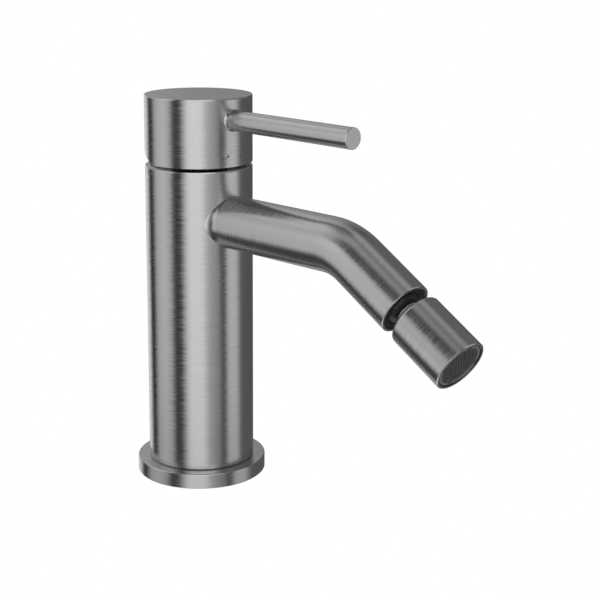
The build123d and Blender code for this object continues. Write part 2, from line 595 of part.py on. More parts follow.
def handle_head():
    """Round head: hollow underneath, socket for the stem, holes for lever and grub screw."""
    body = rod(COLUMN_RADIUS, HEAD_BOTTOM, HEAD_TOP)
    body = chamfer(rims(body, COLUMN_RADIUS, HEAD_BOTTOM), HEAD_FOOT_CHAMFER)
    body -= slim_bevel(COLUMN_RADIUS, HEAD_TOP)
    body -= rod(COLUMN_RADIUS - HEAD_WALL, HEAD_BOTTOM - OVERRUN, HEAD_ROOF_Z)
    body -= rear_relief()
    socket_width = STEM_WIDTH + 2 * FIT_GAP
    body -= leaning(block(socket_width, socket_width, 0, STEM_LENGTH + FIT_GAP))
    spigot_start = COLUMN_RADIUS - LEVER_SPIGOT_LENGTH - FIT_GAP
    spigot_hole = rod(LEVER_SPIGOT_RADIUS + FIT_GAP, 0, LEVER_SPIGOT_LENGTH + OVERRUN)
    body -= forwards(spigot_hole, spigot_start, LEVER_AXIS_Z)
    body -= backwards(rod(GRUB_RADIUS, 0, COLUMN_RADIUS), 0, LEVER_AXIS_Z)
    body -= backwards(rod(PLUG_RADIUS, 0, PLUG_LENGTH + OVERRUN), COLUMN_RADIUS - PLUG_LENGTH, LEVER_AXIS_Z)
    return body - colour_mark(-1) - colour_mark(1)


def lever():
    """Rod lever, flared onto the head and held by its threaded spigot."""
    body = flared_stub(COLUMN_RADIUS, LEVER_RADIUS, LEVER_ROOT_FLARE, LEVER_REACH, LEVER_AXIS_Z)
    tip = [edge for edge in body.edges().filter_by(GeomType.CIRCLE) if edge.center().Y < TOUCH - LEVER_REACH]
    body = chamfer(tip, LEVER_TIP_CHAMFER)
    spigot = rod(LEVER_SPIGOT_RADIUS, 0, LEVER_SPIGOT_LENGTH + LEVER_RADIUS)
    return body + forwards(spigot, COLUMN_RADIUS - LEVER_SPIGOT_LENGTH, LEVER_AXIS_Z)


def grub_screw():
    """Socket-head grub screw, its blunt tip on the stem."""
    body = turned(
        [
            (0, 0),
            (GRUB_TIP_RADIUS, 0),
            (GRUB_RADIUS - FIT_GAP, GRUB_TIP_LENGTH),
            (GRUB_RADIUS - FIT_GAP, GRUB_LENGTH),
            (0, GRUB_LENGTH),
        ]
    )
    key = extrude(RegularPolygon(GRUB_KEY_RADIUS, 6), amount=GRUB_KEY_DEPTH + OVERRUN)
    body -= Pos(0, 0, GRUB_LENGTH - GRUB_KEY_DEPTH) * key
    return backwards(body, grub_tip_y(), LEVER_AXIS_Z)


def rear_plug():
    """Plug over the grub screw, flush with the head."""
    plug = backwards(rod(PLUG_RADIUS, 0, PLUG_LENGTH + OVERRUN), COLUMN_RADIUS - PLUG_LENGTH, LEVER_AXIS_Z)
    return plug & rod(COLUMN_RADIUS, LEVER_AXIS_Z - 2 * PLUG_RADIUS, LEVER_AXIS_Z + 2 * PLUG_RADIUS)


def colour_mark(side):
    """Enamel dot in the head's skin, a little proud of it."""
    height = HEAD_BOTTOM + MARK_RISE
    dot = forwards(rod(MARK_RADIUS, 0, MARK_DEPTH + OVERRUN), COLUMN_RADIUS - MARK_DEPTH, height)
    dot &= rod(COLUMN_RADIUS + MARK_PROUD, height - OVERRUN, height + OVERRUN)
    return Rot(0, 0, side * MARK_ANGLE) * dot


def ball_seat_cutter():
    """Ball-shaped cutting body with the play of the seats."""
    return Pos(0, 0, BALL_CENTRE_S) * Sphere(BALL_RADIUS + BALL_GAP)


def ball_retainer():
    """Dark ring screwed into the spout's end, which keeps the ball in."""
    front = -RETAINER_RECESS
    body = rod(SOCKET_RADIUS - FIT_GAP, front - RETAINER_HEIGHT, front)
    mouth = BALL_APERTURE_RADIUS + RETAINER_LEAD
    lead = turned([(0, front - mouth), (mouth, front), (mouth, front + OVERRUN), (0, front + OVERRUN)])
    return at_outlet(body - ball_seat_cutter() - lead)


def ball_slip_ring():
    """Low-friction seat behind the ball."""
    low = BALL_CENTRE_S - SLIP_RING_BACK
    body = ring(SOCKET_RADIUS - FIT_GAP, SLIP_RING_HOLE_RADIUS, low, BALL_CENTRE_S - SLIP_RING_FRONT)
    return at_outlet(body - ball_seat_cutter())


def spout_o_ring():
    """Seal between the slip ring and the bottom of the socket."""
    middle = SOCKET_RADIUS - FIT_GAP - SPOUT_SEAL_SECTION
    return at_outlet(o_ring(middle, SPOUT_SEAL_SECTION, SPOUT_SEAL_SECTION + FIT_GAP - SOCKET_DEPTH))


def swivel_ball():
    """Hollow black ball with a pocket for the neck."""
    back = BALL_CENTRE_S - BALL_BACK_CUT
    seat = BALL_CENTRE_S + NECK_SEAT_RISE
    body = Pos(0, 0, BALL_CENTRE_S) * Sphere(BALL_RADIUS)
    body -= rod(BALL_RADIUS, back - BALL_RADIUS, back)
    body -= rod(BALL_BORE_RADIUS, back - OVERRUN, seat + OVERRUN)
    return at_outlet(body - rod(NECK_RADIUS + FIT_GAP, seat, seat + BALL_RADIUS))


def swivel_neck():
    """Chromed tube from the ball to the outlet, screwed into both, with a collar at the outlet."""
    seat = BALL_CENTRE_S + NECK_SEAT_RISE
    collar_end = NOZZLE_START - FIT_GAP
    collar_start = collar_end - NECK_COLLAR_LENGTH
    collar = rod(NECK_COLLAR_RADIUS, collar_start, collar_end)
    collar = fillet(rims(collar, NECK_COLLAR_RADIUS, collar_start), NECK_COLLAR_ROUND)
    body = collar + rod(NECK_RADIUS, seat, NOZZLE_START + NOZZLE_BACK_WALL)
    return at_outlet(body - rod(BALL_BORE_RADIUS, seat - OVERRUN, NOZZLE_END))


def nozzle_shell():
    """Outlet sleeve: back wall with the neck's thread, chamber and aerator thread."""
    body = rod(NOZZLE_RADIUS, NOZZLE_START, NOZZLE_END)
    body = fillet(rims(body, NOZZLE_RADIUS, NOZZLE_START), NOZZLE_BACK_ROUND)
    body = chamfer(rims(body, NOZZLE_RADIUS, NOZZLE_END), NOZZLE_FRONT_CHAMFER)
    body -= rod(NECK_RADIUS, NOZZLE_START - OVERRUN, NOZZLE_END)
    chamber = NOZZLE_RADIUS - NOZZLE_CHAMBER_WALL
    body -= rod(chamber, NOZZLE_START + NOZZLE_BACK_WALL, NOZZLE_END)
    return at_outlet(body - rod(NOZZLE_THREAD_RADIUS, AERATOR_START, NOZZLE_END + OVERRUN))


def aerator_seal():
    """Flat rubber washer behind the aerator."""
    return at_outlet(ring(AERATOR_RADIUS, AERATOR_RADIUS - AERATOR_SEAL_WIDTH, AERATOR_START, AERATOR_BODY_START))


def aerator_housing():
    """Screw-in aerator body with key notches round its mouth."""
    body = ring(AERATOR_RADIUS, AERATOR_BORE_RADIUS, AERATOR_BODY_START, AERATOR_END)
    lip = AERATOR_RADIUS - AERATOR_LIP_GAP
    body -= ring(AERATOR_RADIUS + OVERRUN, lip, AERATOR_END - AERATOR_LIP_DEPTH, AERATOR_END + OVERRUN)
    floor = AERATOR_END - AERATOR_NOTCH_DEPTH
    notch = block(2 * AERATOR_NOTCH_REACH, AERATOR_NOTCH_WIDTH, floor, AERATOR_END + OVERRUN)
    return at_outlet(body - around(Pos(AERATOR_BORE_RADIUS, 0, 0) * notch, AERATOR_NOTCH_COUNT))


def honeycomb_places():
    """Centres of a round honeycomb of holes, ring by ring."""
    places = []
    for row in range(-AERATOR_HOLE_RINGS, AERATOR_HOLE_RINGS + 1):
        count = 2 * AERATOR_HOLE_RINGS + 1 - abs(row)
        for index in range(count):
            x = (index - (count - 1) / 2) * AERATOR_HOLE_PITCH
            places.append((x, row * AERATOR_HOLE_PITCH * math.cos(math.radians(30))))
    return places


def aerator_face():
    """Honeycomb disc that the water leaves through."""
    high = AERATOR_END - AERATOR_FACE_RECESS
    low = high - AERATOR_FACE_HEIGHT
    section = Circle(AERATOR_BORE_RADIUS - FIT_GAP)
    section -= [Pos(x, y) * Circle(AERATOR_HOLE_RADIUS) for x, y in honeycomb_places()]
    return at_outlet(Pos(0, 0, low) * extrude(section, amount=high - low))


def aerator_core():
    """Mixing insert inside the aerator with a circle of jets."""
    body = rod(AERATOR_BORE_RADIUS - FIT_GAP, AERATOR_BODY_START, AERATOR_BODY_START + AERATOR_CORE_HEIGHT)
    jet = rod(AERATOR_CORE_HOLE_RADIUS, AERATOR_BODY_START - OVERRUN, AERATOR_END)
    return at_outlet(body - around(Pos(AERATOR_CORE_HOLE_CIRCLE, 0, 0) * jet, AERATOR_CORE_HOLES))


def aerator_screen():
    """Thin conical inlet screen on the aerator's core, inside the washer."""
    wide = AERATOR_RADIUS - AERATOR_SEAL_WIDTH - FIT_GAP
    low = AERATOR_BODY_START - SCREEN_HEIGHT
    return at_outlet(
        turned(
            [
                (wide, AERATOR_BODY_START),
                (wide - SCREEN_WALL, AERATOR_BODY_START),
                (SCREEN_TIP_RADIUS - SCREEN_WALL, low + SCREEN_WALL),
                (0, low + SCREEN_WALL),
                (0, low),
                (SCREEN_TIP_RADIUS, low),
            ]
        )
    )


PARTS = {
    "base_flange": base_flange(),
    "base_gasket": base_gasket(),
    "mixer_body": mixer_body(),
    "inlet_block": inlet_block(),
    "hot_inlet_tube": inlet_tube(-1),
    "cold_inlet_tube": inlet_tube(1),
    "tube_o_rings": tube_o_rings(),
    "seat_block": seat_block(),
    "seat_block_o_ring": seat_block_o_ring(),
    "spout_tube": spout_tube(),
    "cartridge_housing": cartridge_housing(),
    "cartridge_o_ring": cartridge_o_ring(),
    "cartridge_base": cartridge_base(),
    "inlet_port_seals": inlet_port_seals(),
    "fixed_disc": fixed_disc(),
    "moving_disc": moving_disc(),
    "disc_carrier": disc_carrier(),
    "turret": turret(),
    "turret_o_ring": turret_o_ring(),
    "stem_pin": stem_pin(),
    "stem": stem(),
    "cartridge_nut": cartridge_nut(),
    "cover_ring": cover_ring(),
    "handle_head": handle_head(),
    "lever": lever(),
    "grub_screw": grub_screw(),
    "rear_plug": rear_plug(),
    "hot_mark": colour_mark(-1),
    "cold_mark": colour_mark(1),
    "ball_retainer": ball_retainer(),
    "ball_slip_ring": ball_slip_ring(),
    "spout_o_ring": spout_o_ring(),
    "swivel_ball": swivel_ball(),
    "swivel_neck": swivel_neck(),
    "nozzle_shell": nozzle_shell(),
    "aerator_seal": aerator_seal(),
    "aerator_housing": aerator_housing(),
    "aerator_face": aerator_face(),
    "aerator_core": aerator_core(),
    "aerator_screen": aerator_screen(),
}

os.makedirs("parts", exist_ok=True)
for name, part in PARTS.items():
    export_step(part, os.path.join("parts", name + ".step"))
print("wrote", len(PARTS), "parts")
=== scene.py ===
"""Looks of a single-lever bidet mixer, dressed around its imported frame."""

import json
import logging
import math
from dataclasses import dataclass, field
from enum import Enum
from typing import ClassVar

import bmesh
import bpy
from mathutils import Matrix, Vector

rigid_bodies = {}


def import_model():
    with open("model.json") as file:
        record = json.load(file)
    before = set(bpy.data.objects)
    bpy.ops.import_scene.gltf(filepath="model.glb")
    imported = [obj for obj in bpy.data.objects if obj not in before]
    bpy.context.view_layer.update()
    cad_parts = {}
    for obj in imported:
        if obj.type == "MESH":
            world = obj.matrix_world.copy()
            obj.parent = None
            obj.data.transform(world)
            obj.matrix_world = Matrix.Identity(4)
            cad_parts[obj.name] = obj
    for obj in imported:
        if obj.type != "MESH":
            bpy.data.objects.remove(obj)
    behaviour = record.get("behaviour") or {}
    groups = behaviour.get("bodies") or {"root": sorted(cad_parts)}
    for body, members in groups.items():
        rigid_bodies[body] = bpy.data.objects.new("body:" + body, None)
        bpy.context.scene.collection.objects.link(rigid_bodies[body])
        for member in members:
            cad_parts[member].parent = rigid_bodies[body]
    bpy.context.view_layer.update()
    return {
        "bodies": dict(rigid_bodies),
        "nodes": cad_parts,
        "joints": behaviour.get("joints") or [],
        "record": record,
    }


LOG = logging.getLogger("bidet_mixer")

MM = 0.001
FALL_ANGLE = math.radians(30.5)
BEND_RADIUS = 29.0 * MM
KNEE_REACH = 85.7 * MM
SPOUT_AXIS_HEIGHT = 112.3 * MM
BEND_START = KNEE_REACH - BEND_RADIUS * math.tan(FALL_ANGLE / 2)
CAMERA_BEARING = 40.218
HALF_TURN = 180.0
FULL_TURN = 360.0
NOISE_DETAIL = 3.0
NOISE_LOW = 0.3
NOISE_HIGH = 0.7

Link = bpy.types.NodeSocket


class Grain(Enum):
    """Ways in which a metal piece is brushed."""

    ROUND_COLUMN = "round the upright axis"
    ROUND_SPOUT = "round the bent spout"
    ROUND_OUTLET = "round the outlet's axis"
    ROUND_LEVER = "round the lever's axis"


class Blend(Enum):
    """Things that a Mix node blends: the data type, the places of its two value inputs, and of its output."""

    NUMBER = ("FLOAT", 2, 3, 0)
    VECTOR = ("VECTOR", 4, 5, 1)
    COLOUR = ("RGBA", 6, 7, 2)


def grey(level: float) -> tuple[float, float, float, float]:
    """Gives an opaque grey of a linear level."""
    return level, level, level, 1.0


def tint(colour: tuple[float, float, float], factor: float) -> tuple[float, float, float, float]:
    """Gives an opaque colour, scaled by a factor."""
    red, green, blue = colour
    return red * factor, green * factor, blue * factor, 1.0


@dataclass
class NodeSheet:
    """Short calls to build one node tree.

    Attributes:
        tree: the node tree that is built.
    """

    tree: bpy.types.NodeTree

    def add(self, kind: str, **settings: object) -> bpy.types.Node:
        """Adds a node.

        Args:
            kind: Blender's name of the node type.
            settings: attributes to set on the node.

        Returns:
            The new node.
        """
        node = self.tree.nodes.new(kind)
        for name, value in settings.items():
            setattr(node, name, value)
        return node

    def feed(self, socket: Link, value: object) -> None:
        """Links a socket, or sets its plain value.

        Args:
            socket: the input socket.
            value: a socket to link from, or a number or tuple to set.
        """
        if isinstance(value, Link):
            self.tree.links.new(value, socket)
        else:
            socket.default_value = value

    def math(self, operation: str, first: object, second: object = 0.0) -> Link:
        """Adds a Math node.

        Args:
            operation: the node's operation.
            first: a socket or a number.
            second: a socket or a number.

        Returns:
            The node's output.
        """
        node = self.add("ShaderNodeMath", operation=operation)
        self.feed(node.inputs[0], first)
        self.feed(node.inputs[1], second)
        return node.outputs[0]

    def vector_math(self, operation: str, first: object, second: object = (0.0, 0.0, 0.0)) -> bpy.types.Node:
        """Adds a Vector Math node.

        Args:
            operation: the node's operation.
            first: a socket or a vector.
            second: a socket or a vector.

        Returns:
            The node, since its output depends on the operation.
        """
        node = self.add("ShaderNodeVectorMath", operation=operation)
        self.feed(node.inputs[0], first)
        self.feed(node.inputs[1], second)
        return node

    def mix(self, blend: Blend, factor: object, low: object, high: object) -> Link:
        """Mixes two numbers, vectors or colours.

        Args:
            blend: what is mixed.
            factor: a socket or a number.
            low: the value at factor 0.
            high: the value at factor 1.

        Returns:
            The mixed value.
        """
        data_type, low_input, high_input, output = blend.value
        node = self.add("ShaderNodeMix", data_type=data_type)
        self.feed(node.inputs[0], factor)
        self.feed(node.inputs[low_input], low)
        self.feed(node.inputs[high_input], high)
        return node.outputs[output]

    def ramp(self, value: object, low: float, high: float, out_low: float = 0.0, out_high: float = 1.0) -> Link:
        """Maps a value from one range to another, clamped.

        Args:
            value: a socket.
            low: the value that gives out_low.
            high: the value that gives out_high.
            out_low: result at low.
            out_high: result at high.

        Returns:
            The mapped value.
        """
        node = self.add("ShaderNodeMapRange")
        for socket, number in zip(node.inputs, (value, low, high, out_low, out_high)):
            self.feed(socket, number)
        return node.outputs[0]

    def vector(self, x: object, y: object, z: object) -> Link:
        """Joins three values to a vector.

        Args:
            x: a socket or a number.
            y: a socket or a number.
            z: a socket or a number.

        Returns:
            The vector.
        """
        node = self.add("ShaderNodeCombineXYZ")
        for socket, value in zip(node.inputs, (x, y, z)):
            self.feed(socket, value)
        return node.outputs[0]

    def split(self, vector: Link) -> tuple[Link, ...]:
        """Splits a vector into its three values.

        Args:
            vector: the vector's socket.

        Returns:
            The three values.
        """
        node = self.add("ShaderNodeSeparateXYZ")
        self.feed(node.inputs[0], vector)
        return tuple(node.outputs)

    def noise(self, vector: Link, scale: float) -> Link:
        """Adds a Noise texture.

        Args:
            vector: the place at which the texture is read.
            scale: how finely the texture changes.

        Returns:
            The texture's grey value.
        """
        node = self.add("ShaderNodeTexNoise")
        self.feed(node.inputs["Vector"], vector)
        node.inputs["Scale"].default_value = scale
        node.inputs["Detail"].default_value = NOISE_DETAIL
        return node.outputs[0]

    def bump(self, height: Link, distance: float) -> bpy.types.Node:
        """Adds a Bump node at full strength.

        Args:
            height: the relief's grey value.
            distance: the relief's height.

        Returns:
            The node, so that its normal can be fed too.
        """
        node = self.add("ShaderNodeBump")
        self.feed(node.inputs["Height"], height)
        node.inputs["Distance"].default_value = distance
        node.inputs["Strength"].default_value = 1.0
        return node


def new_material(name: str) -> tuple[bpy.types.Material, NodeSheet, bpy.types.Node]:
    """Makes a material with one Principled shader.

    Args:
        name: the material's name.

    Returns:
        The material, its node sheet and the shader node.
    """
    material = bpy.data.materials.new(name)
    material.use_nodes = True
    return material, NodeSheet(material.node_tree), material.node_tree.nodes["Principled BSDF"]


def cleared_sheet(owner: bpy.types.Material | bpy.types.World) -> NodeSheet:
    """Empties the node tree of a material or world.

    Args:
        owner: the material or world.

    Returns:
        The node sheet of the empty tree.
    """
    owner.use_nodes = True
    owner.node_tree.nodes.clear()
    return NodeSheet(owner.node_tree)


@dataclass(frozen=True)
class BrushedFinish:
    """Satin metal with fine parallel scratches round a piece's axis.

    Attributes:
        name: the material's name.
        grain: how the piece is brushed.
        colour: linear colour of the metal.
        roughness: mean roughness.
        anisotropy: how much longer reflections are along the piece than round it.
        streak_depth: share by which a scratch darkens or lightens the metal.
        streak_roughness: share by which a scratch changes the roughness.
        streak_headroom: how far above its mean the colour could go.
        coarse_share: share of the coarse scratches beside the fine ones.
        scratch_length: mean length of a scratch.
        fine_pitch: mean distance between the fine scratches.
        coarse_pitch: mean distance between the coarse scratches.
        groove_height: height of the scratches' relief.
        comb_angle: angle by which a scratch turns the surface about the brushed axis, in radians.
        flat_from: alignment with the axis from which a face begins to count as a flat end.
        flat_full: alignment with the axis from which a face is a flat end.
    """

    name: str
    grain: Grain
    colour: tuple[float, float, float] = (0.56, 0.56, 0.565)
    roughness: float = 0.24
    anisotropy: float = 0.55
    streak_depth: float = 0.012
    streak_roughness: float = 0.22
    streak_headroom: float = 1.25
    coarse_share: float = 0.2
    scratch_length: float = 20.0 * MM
    fine_pitch: float = 0.5 * MM
    coarse_pitch: float = 1.1 * MM
    groove_height: float = 0.0006 * MM
    comb_angle: float = 0.018
    flat_from: float = 0.75
    flat_full: float = 0.85

    def along(self, sheet: NodeSheet, x: object, y: object, z: object) -> tuple[object, object, object]:
        """Works out where a point lies along the brushed axis.

        Args:
            sheet: the node sheet.
            x: the point's first coordinate.
            y: the point's second coordinate.
            z: the point's third coordinate.

        Returns:
            The distance along the axis, and the axis direction's Y and Z parts there.
        """
        if self.grain is Grain.ROUND_COLUMN:
            return z, 0.0, 1.0
        if self.grain is Grain.ROUND_LEVER:
            return sheet.math("MULTIPLY", y, -1.0), -1.0, 0.0
        forward = sheet.math("SUBTRACT", -BEND_START, y)
        above = sheet.math("SUBTRACT", z, SPOUT_AXIS_HEIGHT - BEND_RADIUS)
        if self.grain is Grain.ROUND_OUTLET:
            turn: object = FALL_ANGLE
            cosine: object = math.cos(FALL_ANGLE)
            sine: object = math.sin(FALL_ANGLE)
        else:
            raw = sheet.math("ARCTAN2", forward, above)
            turn = sheet.math("MINIMUM", sheet.math("MAXIMUM", raw, 0.0), FALL_ANGLE)
            cosine = sheet.math("COSINE", turn)
            sine = sheet.math("SINE", turn)
        reach = sheet.math("MULTIPLY", forward, cosine)
        drop = sheet.math("MULTIPLY", above, sine)
        arc = sheet.math("MULTIPLY", turn, BEND_RADIUS)
        distance = sheet.math("ADD", sheet.math("SUBTRACT", reach, drop), arc)
        return distance, sheet.math("MULTIPLY", cosine, -1.0), sheet.math("MULTIPLY", sine, -1.0)

    def build(self) -> bpy.types.Material:
        """Builds the material.

        Returns:
            The brushed metal.
        """
        material, sheet, shader = new_material(self.name)
        place = sheet.add("ShaderNodeTexCoord")
        x, y, z = sheet.split(place.outputs["Object"])
        distance, axis_y, axis_z = self.along(sheet, x, y, z)
        axis = sheet.vector(0.0, axis_y, axis_z)
        facing = sheet.vector_math("DOT_PRODUCT", place.outputs["Normal"], axis)
        flat = sheet.ramp(sheet.math("ABSOLUTE", facing.outputs["Value"]), self.flat_from, self.flat_full)

        side_point = tuple(sheet.math("MULTIPLY", value, 1.0 / self.scratch_length) for value in (x, y, z))
        step = sheet.mix(Blend.NUMBER, flat, distance, x)
        fine = self.streaks(sheet, side_point, step, self.fine_pitch)
        coarse = self.streaks(sheet, side_point, step, self.coarse_pitch)
        both = sheet.mix(Blend.NUMBER, self.coarse_share, fine, coarse)

        shade = sheet.ramp(both, NOISE_LOW, NOISE_HIGH, 1.0 - self.streak_depth, 1.0 + self.streak_depth)
        share = sheet.math("MULTIPLY", shade, 1.0 / self.streak_headroom)
        bright = tint(self.colour, self.streak_headroom)
        sheet.feed(shader.inputs["Base Color"], sheet.mix(Blend.COLOUR, share, grey(0.0), bright))
        smooth = self.roughness * (1.0 - self.streak_roughness)
        rough = self.roughness * (1.0 + self.streak_roughness)
        sheet.feed(shader.inputs["Roughness"], sheet.ramp(both, NOISE_LOW, NOISE_HIGH, smooth, rough))
        shader.inputs["Metallic"].default_value = 1.0
        shader.inputs["Anisotropic"].default_value = self.anisotropy

        tangent = sheet.mix(Blend.VECTOR, flat, axis, (0.0, 1.0, 0.0))
        turn = sheet.add("ShaderNodeVectorTransform", vector_type="VECTOR", convert_from="OBJECT", convert_to="WORLD")
        sheet.feed(turn.inputs[0], tangent)
        sheet.feed(shader.inputs["Tangent"], turn.outputs[0])
        relief = sheet.bump(fine, self.groove_height)
        sheet.feed(relief.inputs["Normal"], self.combed_normal(sheet, turn.outputs[0], fine))
        sheet.feed(shader.inputs["Normal"], relief.outputs[0])
        return material

    def combed_normal(self, sheet: NodeSheet, axis: Link, streak: Link) -> Link:
        """Turns the normal a little about the brushed axis, scratch by scratch.

        Args:
            sheet: the node sheet.
            axis: the brushed axis in world space.
            streak: the scratches' grey value.

        Returns:
            The normal in world space.
        """
        normal = sheet.add("ShaderNodeNewGeometry").outputs["Normal"]
        across = sheet.vector_math("CROSS_PRODUCT", axis, normal).outputs[0]
        shift = sheet.add("ShaderNodeVectorMath", operation="SCALE")
        sheet.feed(shift.inputs[0], across)
        sheet.feed(shift.inputs["Scale"], sheet.ramp(streak, NOISE_LOW, NOISE_HIGH, -self.comb_angle, self.comb_angle))
        total = sheet.vector_math("ADD", normal, shift.outputs[0])
        return sheet.vector_math("NORMALIZE", total.outputs[0]).outputs[0]

    def streaks(self, sheet: NodeSheet, side_point: tuple[Link, ...], step: Link, pitch: float) -> Link:
        """Adds one layer of scratches.

        Args:
            sheet: the node sheet.
            side_point: the point, scaled so that a scratch is one unit long.
            step: the distance across the scratches.
            pitch: mean distance from one scratch to the next.

        Returns:
            The scratches' grey value.
        """
        packed = sheet.math("DIVIDE", step, pitch)
        side_x, side_y, side_z = side_point
        if self.grain is Grain.ROUND_COLUMN:
            point = sheet.vector(side_x, side_y, packed)
        else:
            point = sheet.vector(side_x, packed, side_z)
        return sheet.noise(point, 1.0)


@dataclass(frozen=True)
class PlainFinish:
    """Plastic, rubber, enamel or smooth metal with fine mottling.

    Attributes:
        name: the material's name.
        colour: linear colour.
        roughness: mean roughness.
        metallic: 1 for metals.
        variation: share by which the mottling changes the colour.
        roughness_spread: share by which the mottling changes the roughness.
        grain_size: size of the mottling.
        relief: height of the surface's fine relief.
    """

    name: str
    colour: tuple[float, float, float]
    roughness: float
    metallic: float = 0.0
    variation: float = 0.12
    roughness_spread: float = 0.15
    grain_size: float = 0.5 * MM
    relief: float = 0.002 * MM

    def build(self) -> bpy.types.Material:
        """Builds the material.

        Returns:
            The finished material.
        """
        material, sheet, shader = new_material(self.name)
        place = sheet.add("ShaderNodeTexCoord")
        mottle = sheet.noise(place.outputs["Object"], 1.0 / self.grain_size)
        low, high = (tint(self.colour, factor) for factor in (1.0 - self.variation, 1.0 + self.variation))
        sheet.feed(shader.inputs["Base Color"], sheet.mix(Blend.COLOUR, mottle, low, high))
        smooth = self.roughness * (1.0 - self.roughness_spread)
        rough = self.roughness * (1.0 + self.roughness_spread)
        sheet.feed(shader.inputs["Roughness"], sheet.ramp(mottle, NOISE_LOW, NOISE_HIGH, smooth, rough))
        shader.inputs["Metallic"].default_value = self.metallic
        sheet.feed(shader.inputs["Normal"], sheet.bump(mottle, self.relief).outputs[0])
        return material


Finish = BrushedFinish | PlainFinish


@dataclass
class Finishes:
    """All finishes of the mixer, each built once.

    Attributes:
        made: materials by name.
    """

    made: dict[str, bpy.types.Material] = field(default_factory=dict)

    def get(self, finish: Finish) -> bpy.types.Material:
        """Gives a finish's material, and builds it the first time.

        Args:
            finish: the finish.

        Returns:
            Its material.
        """
        if finish.name not in self.made:
            self.made[finish.name] = finish.build()
        return self.made[finish.name]


COLUMN_METAL = BrushedFinish("gunmetal_column", Grain.ROUND_COLUMN)
SPOUT_METAL = BrushedFinish("gunmetal_spout", Grain.ROUND_SPOUT)
OUTLET_METAL = BrushedFinish("gunmetal_outlet", Grain.ROUND_OUTLET)
LEVER_METAL = BrushedFinish("gunmetal_lever", Grain.ROUND_LEVER)
SATIN_CHROME = PlainFinish("satin_chrome", (0.92, 0.92, 0.93), 0.62, metallic=1.0, variation=0.02)
# Black of the ball retainer; on the cover ring and the swivel ball the same black is painted shade.
BLACK_AND_PAINTED_SHADE_METAL = PlainFinish("black_ring_and_painted_shade", (0.012, 0.012, 0.013), 0.35)
AERATOR_RIM = PlainFinish("aerator_rim_grey", (0.22, 0.22, 0.224), 0.22)
AERATOR_PLASTIC = PlainFinish("aerator_grey", (0.095, 0.095, 0.098), 0.4)
CORE_PLASTIC = PlainFinish("aerator_core_grey", (0.03, 0.03, 0.032), 0.5)
SEAL_RUBBER = PlainFinish("seal_rubber", (0.02, 0.02, 0.021), 0.65)
GUIDE_PLASTIC = PlainFinish("guide_plastic", (0.06, 0.065, 0.07), 0.45)
SHELL_PLASTIC = PlainFinish("cartridge_plastic", (0.7, 0.7, 0.66), 0.45)
SLIP_PLASTIC = PlainFinish("slip_plastic", (0.75, 0.75, 0.74), 0.5)
CERAMIC = PlainFinish("polished_ceramic", (0.85, 0.85, 0.82), 0.15, variation=0.02)
BRASS = PlainFinish("machined_brass", (0.75, 0.55, 0.25), 0.3, metallic=1.0)
COPPER = PlainFinish("drawn_copper", (0.83, 0.45, 0.3), 0.32, metallic=1.0)
PLAIN_STEEL = PlainFinish("plain_steel", (0.55, 0.55, 0.55), 0.3, metallic=1.0)
RED_ENAMEL = PlainFinish("red_enamel", (0.42, 0.08, 0.10), 0.3)
BLUE_ENAMEL = PlainFinish("blue_enamel", (0.07, 0.15, 0.30), 0.3)


@dataclass
class SubAssembly:
    """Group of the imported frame's nodes that is dressed together.

    Attributes:
        nodes: CAD objects by node name.
        finishes: the finishes that all groups share.
        coats: the finish of each node in the group.
    """

    nodes: dict[str, bpy.types.Object]
    finishes: Finishes
    coats: ClassVar[dict[str, Finish]] = {}

    def dress(self) -> None:
        """Gives every node of the group its finish."""
        for name, finish in self.coats.items():
            node = self.nodes[name]
            material = self.finishes.get(finish)
            for slot in node.material_slots:
                slot.material = material
            if not node.material_slots:
                node.data.materials.append(material)
            LOG.info("%s: dressed %s in %s", type(self).__name__, name, finish.name)


class Column(SubAssembly):
    """Flange, column and spout, with the water inlets inside."""

    coats = {
        "base_flange": COLUMN_METAL,
        "base_gasket": SEAL_RUBBER,
        "mixer_body": COLUMN_METAL,
        "spout_tube": SPOUT_METAL,
        # The cover ring is coloured black to paint the shadow in the gap under the handle's head.
        "cover_ring": BLACK_AND_PAINTED_SHADE_METAL,
        "inlet_block": BRASS,
        "hot_inlet_tube": COPPER,
        "cold_inlet_tube": COPPER,
        "tube_o_rings": SEAL_RUBBER,
        "seat_block": BRASS,
        "seat_block_o_ring": SEAL_RUBBER,
    }


class Cartridge(SubAssembly):
    """Ceramic cartridge with its discs, stem and nut."""

    coats = {
        "cartridge_housing": SHELL_PLASTIC,
        "cartridge_base": GUIDE_PLASTIC,
        "cartridge_o_ring": SEAL_RUBBER,
        "cartridge_nut": BRASS,
        "inlet_port_seals": SEAL_RUBBER,
        "fixed_disc": CERAMIC,
        "moving_disc": CERAMIC,
        "disc_carrier": GUIDE_PLASTIC,
        "turret": GUIDE_PLASTIC,
        "turret_o_ring": SEAL_RUBBER,
        "stem": BRASS,
        "stem_pin": PLAIN_STEEL,
    }


class Handle(SubAssembly):
    """Round head with its rod lever, dots and grub screw."""

    coats = {
        "handle_head": COLUMN_METAL,
        "lever": LEVER_METAL,
        "rear_plug": LEVER_METAL,
        "grub_screw": PLAIN_STEEL,
        "hot_mark": RED_ENAMEL,
        "cold_mark": BLUE_ENAMEL,
    }


class BallJoint(SubAssembly):
    """Ball coloured black as painted shade in the joint, with its seats and the chromed neck in front of it."""

    coats = {
        "ball_retainer": BLACK_AND_PAINTED_SHADE_METAL,
        "ball_slip_ring": SLIP_PLASTIC,
        "spout_o_ring": SEAL_RUBBER,
        # The swivel ball is coloured black to paint the shade in the joint; the ball itself is chromed.
        "swivel_ball": BLACK_AND_PAINTED_SHADE_METAL,
        "swivel_neck": SATIN_CHROME,
    }


class Outlet(SubAssembly):
    """Outlet sleeve with its aerator."""

    coats = {
        "nozzle_shell": OUTLET_METAL,
        "aerator_housing": AERATOR_RIM,
        "aerator_face": AERATOR_PLASTIC,
        "aerator_core": CORE_PLASTIC,
        "aerator_screen": PLAIN_STEEL,
        "aerator_seal": SEAL_RUBBER,
    }


